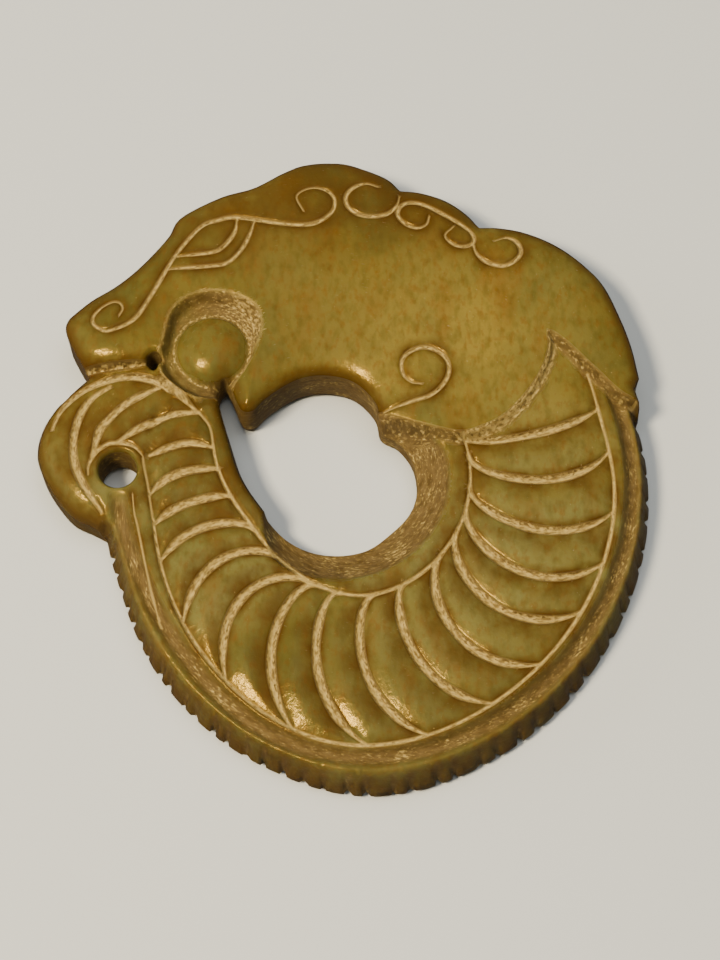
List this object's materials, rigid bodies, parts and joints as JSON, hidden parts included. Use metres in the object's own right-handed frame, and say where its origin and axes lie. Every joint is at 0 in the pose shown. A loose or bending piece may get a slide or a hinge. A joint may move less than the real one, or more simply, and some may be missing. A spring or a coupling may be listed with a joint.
{
  "type": "carved jade coiled dragon ring",
  "caption": "Flat jade pendant carved as a coiled dragon: domed head over a ribbed ring body with a notched rim, a drilled tail and a central opening.",
  "frame": {"origin": "centre of the ring's bounding box, on the plane of its flat back", "axes": "+X from the snout side to the rim, +Y towards the crest of the head, +Z out of the carved front"},
  "size_m": [0.067, 0.0722, 0.008],
  "materials": {
    "jade": "polished olive jade with tan crust in the cuts"
  },
  "bodies": {
    "root": {"jade_ring": "jade"}
  },
  "joints": []
}
